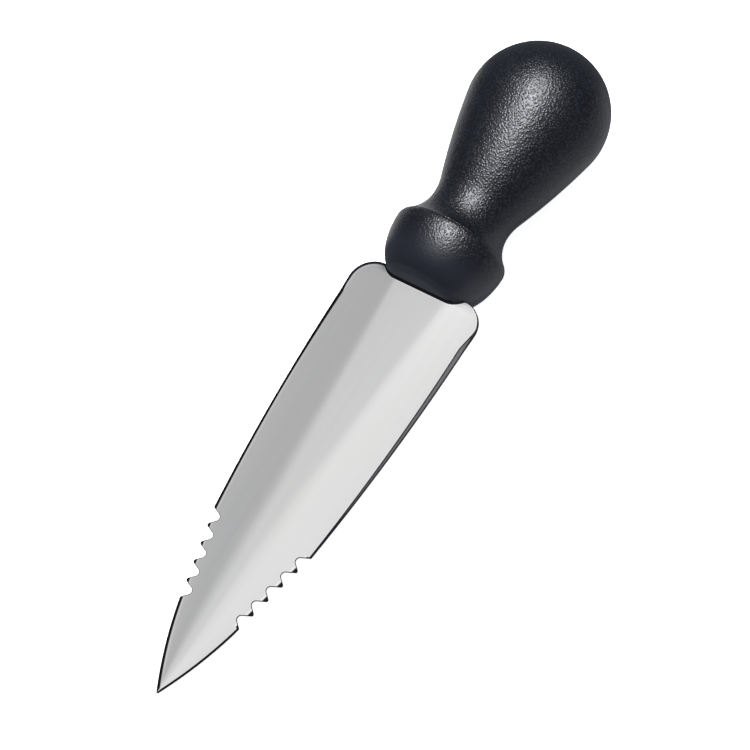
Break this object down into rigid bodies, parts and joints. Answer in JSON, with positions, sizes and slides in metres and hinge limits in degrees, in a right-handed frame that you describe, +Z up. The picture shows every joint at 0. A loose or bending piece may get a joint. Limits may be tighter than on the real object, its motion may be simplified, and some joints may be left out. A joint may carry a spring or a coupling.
{
  "type": "utility knife",
  "caption": "Fixed-blade kitchen knife: a symmetrical two-edged pointed blade with rounded notches near the point, and a grained pear-shaped handle with a collar.",
  "frame": {"origin": "on the flat surface that the knife lies on, under the middle of its bounding box; the knife rests there on its collar and its point", "axes": "+X along the knife from the handle to the point, +Y across the blade, +Z up, away from the surface; the blade's own axis falls by 6.18 degrees from the handle to the point"},
  "size_m": [0.226, 0.0442, 0.0436],
  "materials": {
    "blade_steel": "satin polish with fine lengthwise grinding lines, brighter on the edge bevels",
    "core_plastic": "plain moulded",
    "grip_plastic": "fine pebble grain, semi-matt"
  },
  "bodies": {
    "root": {"blade": "blade_steel", "handle_core": "core_plastic", "handle_grip": "grip_plastic"}
  },
  "joints": []
}
